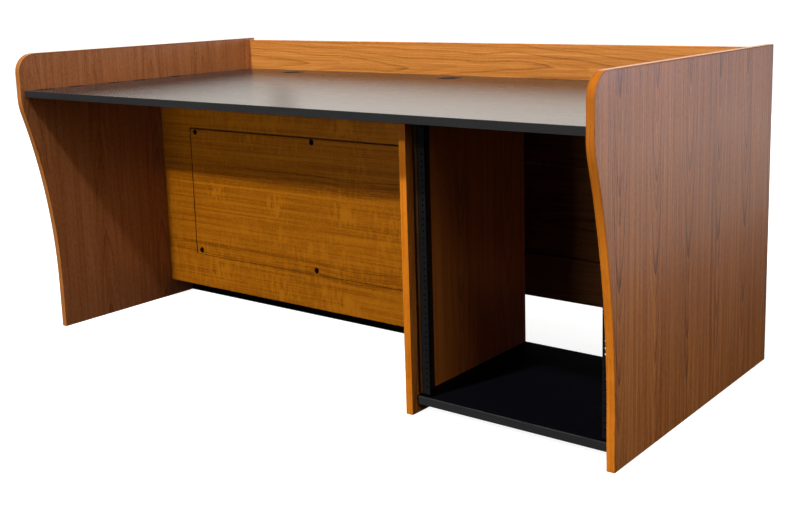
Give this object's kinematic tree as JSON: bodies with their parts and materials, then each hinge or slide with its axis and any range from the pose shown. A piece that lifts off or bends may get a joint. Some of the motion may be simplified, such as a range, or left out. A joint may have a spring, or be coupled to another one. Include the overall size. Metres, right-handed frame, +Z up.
{
  "type": "workstation desk",
  "caption": "Free-standing workstation desk with curved oak end panels, recessed black worktop, rear gallery, knee space with removable access panel and a 19-inch rack bay.",
  "frame": {"origin": "middle of the footprint, on the floor", "axes": "+Z up, +X along the desk towards the rack bay, -Y towards the person sitting at it"},
  "size_m": [1.867, 0.926, 0.825],
  "materials": {
    "oak_veneer": "satin lacquered red-oak veneer on a wood-fibre core",
    "oak_edge": "satin lacquered solid oak lipping",
    "oak_strip": "planed oak, stained dark",
    "black_laminate": "fine-textured black laminate on a wood-fibre core",
    "grey_edge": "satin charcoal edge band",
    "black_steel": "black powder coat",
    "black_fastener": "black oxide",
    "zinc_steel": "zinc plated",
    "batten_wood": "planed softwood, stained dark",
    "dowel_wood": "fluted beech",
    "black_plastic": "moulded black plastic"
  },
  "bodies": {
    "carcass": {"left_end_panel": "oak_veneer", "right_end_panel": "oak_veneer", "divider_panel": "oak_veneer", "modesty_panel": "oak_veneer", "rear_panel": "oak_veneer", "rear_stretcher": "oak_veneer", "left_end_edge_band": "oak_edge", "right_end_edge_band": "oak_edge", "divider_edge_band": "oak_edge", "rear_panel_edge_band": "oak_edge", "rack_filler_left": "oak_strip", "rack_filler_right": "oak_strip", "worktop": "black_laminate", "base_shelf": "black_laminate", "base_rail": "black_laminate", "worktop_edge_band": "grey_edge", "base_shelf_edge_band": "grey_edge", "rack_rail_left": "black_steel", "rack_rail_right": "black_steel", "rack_rail_screws": "black_fastener", "worktop_brackets": "zinc_steel", "bracket_screws": "zinc_steel", "access_battens_long": "batten_wood", "access_battens_short": "batten_wood", "rear_access_cleats": "batten_wood", "joint_dowels": "dowel_wood", "port_liners": "black_plastic"},
    "access_panel": {"modesty_access_panel": "oak_veneer", "access_panel_screws": "black_fastener", "access_panel_washers": "black_fastener"},
    "rear_access": {"rear_access_panel": "oak_veneer", "rear_access_screws": "black_fastener"}
  },
  "joints": [
    {"name": "access_panel_pull", "type": "slide", "parent": "carcass", "child": "access_panel", "axis": [0, -1, 0], "range_m": [0, 0.56]},
    {"name": "rear_access_pull", "type": "slide", "parent": "carcass", "child": "rear_access", "axis": [0, 1, 0], "range_m": [0, 0.1]}
  ]
}
